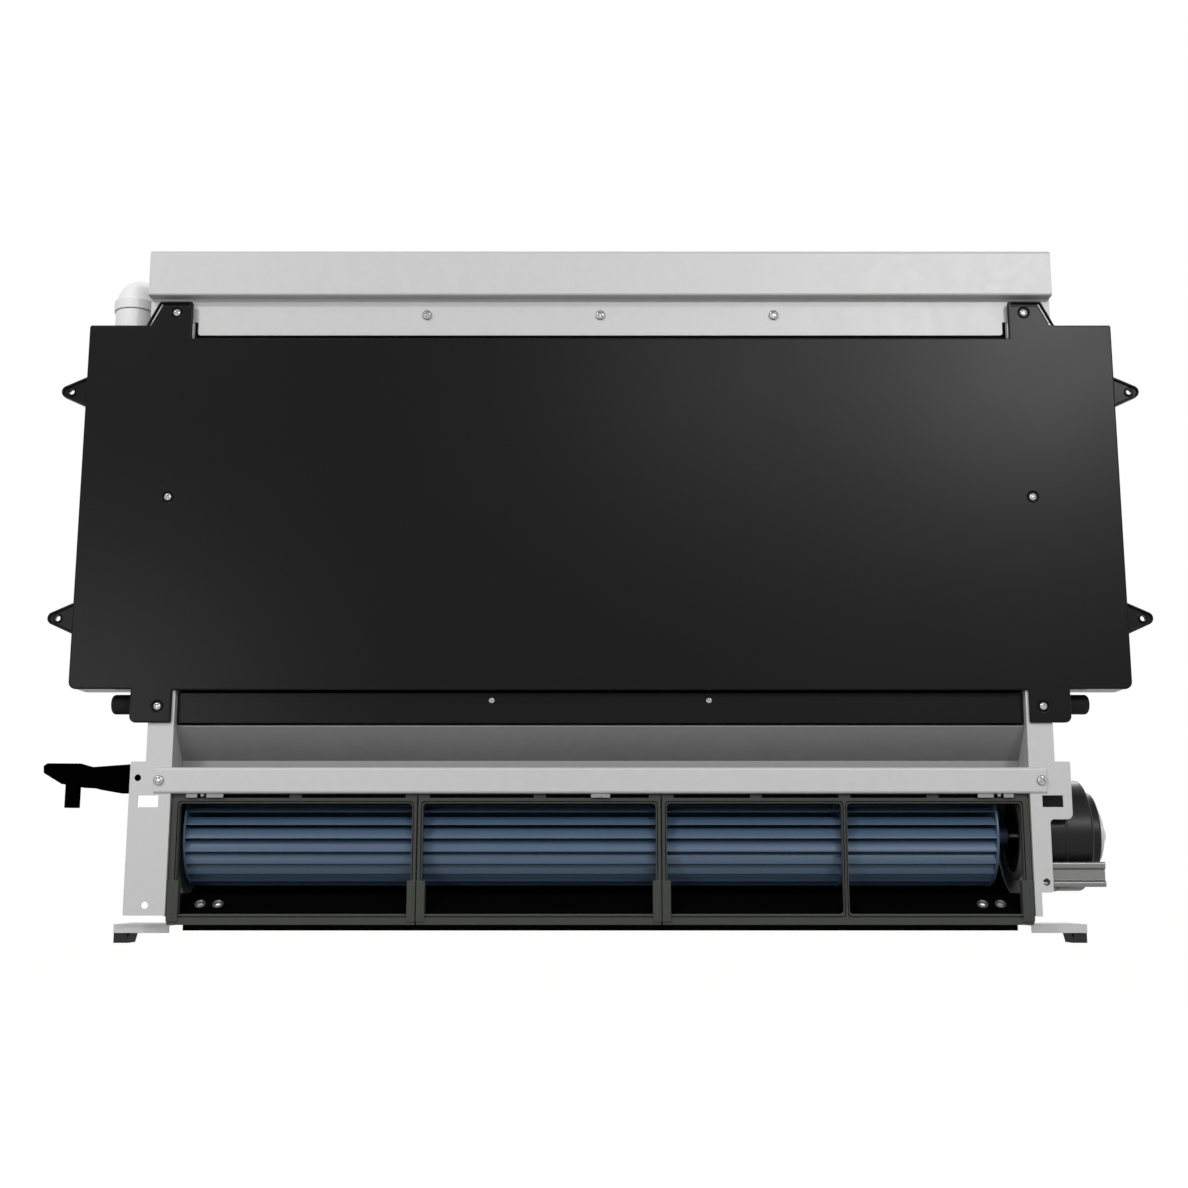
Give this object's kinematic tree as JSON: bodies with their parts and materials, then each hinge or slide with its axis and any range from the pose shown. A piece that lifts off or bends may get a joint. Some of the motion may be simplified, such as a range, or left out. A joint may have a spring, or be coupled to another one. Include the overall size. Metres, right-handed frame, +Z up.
{
  "type": "fan coil unit",
  "caption": "Slim concealed fan coil unit: cross-flow fan behind open intake frames, leaning finned coil, drip tray front and flanged top outlet.",
  "frame": {"origin": "on the wall face of the back panel, midway along the unit and halfway up the casing", "axes": "+X along the unit to the picture's right, +Y into the wall, +Z up towards the outlet"},
  "size_m": [0.928, 0.126, 0.5898],
  "materials": {
    "galvanised_sheet": "satin galvanised",
    "black_sheet": "satin black",
    "frame_plastic": "dark grey moulded",
    "fan_plastic": "slate blue moulded",
    "shaft_steel": "ground",
    "rubber": "matte black",
    "motor_black": "satin black",
    "motor_iron": "laminated",
    "white_plastic": "smooth white",
    "fin_aluminium": "bare",
    "copper_tube": "copper",
    "union_brass": "machined",
    "black_foam": "closed cell",
    "black_plastic": "satin black moulded",
    "zinc_steel": "bright zinc"
  },
  "bodies": {
    "casing": {"back_panel": "galvanised_sheet", "left_side_plate": "galvanised_sheet", "right_side_plate": "galvanised_sheet", "front_upper_panel": "galvanised_sheet", "crossbar": "galvanised_sheet", "duct_front_panel": "galvanised_sheet", "coil_left_end": "galvanised_sheet", "coil_right_end": "galvanised_sheet", "motor_cradle": "galvanised_sheet", "left_foot_bracket": "galvanised_sheet", "right_foot_bracket": "galvanised_sheet", "fan_tongue": "black_sheet", "scroll_casing": "black_sheet", "intake_frame_left": "frame_plastic", "intake_frame_middle": "frame_plastic", "intake_frame_right": "frame_plastic", "stub_bearing_bush": "rubber", "motor_isolator": "rubber", "left_foot_pad": "rubber", "right_foot_pad": "rubber", "motor_front_shield": "motor_black", "motor_housing": "motor_black", "motor_stator": "motor_iron", "motor_end_cap": "white_plastic", "terminal_block": "white_plastic", "riser_pipe": "white_plastic", "riser_elbow": "white_plastic", "coil_fin_pack": "fin_aluminium", "flow_header": "copper_tube", "return_header": "copper_tube", "flow_union_nut": "union_brass", "return_union_nut": "union_brass", "coil_top_seal": "black_foam", "outlet_lining": "black_foam", "drip_tray": "black_plastic", "condensate_trough": "black_plastic", "valve_drip_tray": "black_plastic", "pipe_clip": "black_plastic", "terminal_box": "black_plastic", "terminal_box_cover": "black_plastic", "tray_screw_left_upper": "zinc_steel", "tray_screw_left_middle": "zinc_steel", "tray_screw_left_lower": "zinc_steel", "tray_screw_right_upper": "zinc_steel", "tray_screw_right_middle": "zinc_steel", "tray_screw_right_lower": "zinc_steel", "crossbar_screw_left": "zinc_steel", "crossbar_screw_right": "zinc_steel", "trough_screw_left": "zinc_steel", "trough_screw_right": "zinc_steel", "upper_panel_screw_1": "zinc_steel", "upper_panel_screw_2": "zinc_steel", "upper_panel_screw_3": "zinc_steel"},
    "fan_rotor": {"impeller": "fan_plastic", "motor_shaft": "shaft_steel", "stub_shaft": "shaft_steel", "motor_rotor": "motor_iron"},
    "left_cap": {"left_drain_cap": "rubber"},
    "right_cap": {"right_drain_cap": "rubber"},
    "bleed": {"bleed_screw": "union_brass"}
  },
  "joints": [
    {"name": "fan_spin", "type": "hinge", "parent": "casing", "child": "fan_rotor", "pos_m": [0, -0.066, -0.2139], "axis": [1, 0, 0], "continuous": true},
    {"name": "left_cap_pull", "type": "slide", "parent": "casing", "child": "left_cap", "axis": [-1, 0, 0], "range_m": [0, 0.03]},
    {"name": "right_cap_pull", "type": "slide", "parent": "casing", "child": "right_cap", "axis": [1, 0, 0], "range_m": [0, 0.03]},
    {"name": "bleed_turn", "type": "hinge", "parent": "casing", "child": "bleed", "pos_m": [-0.3765, -0.02699, 0.19942], "axis": [0, 0.2028, 0.9792], "range_deg": [0, 360]}
  ]
}
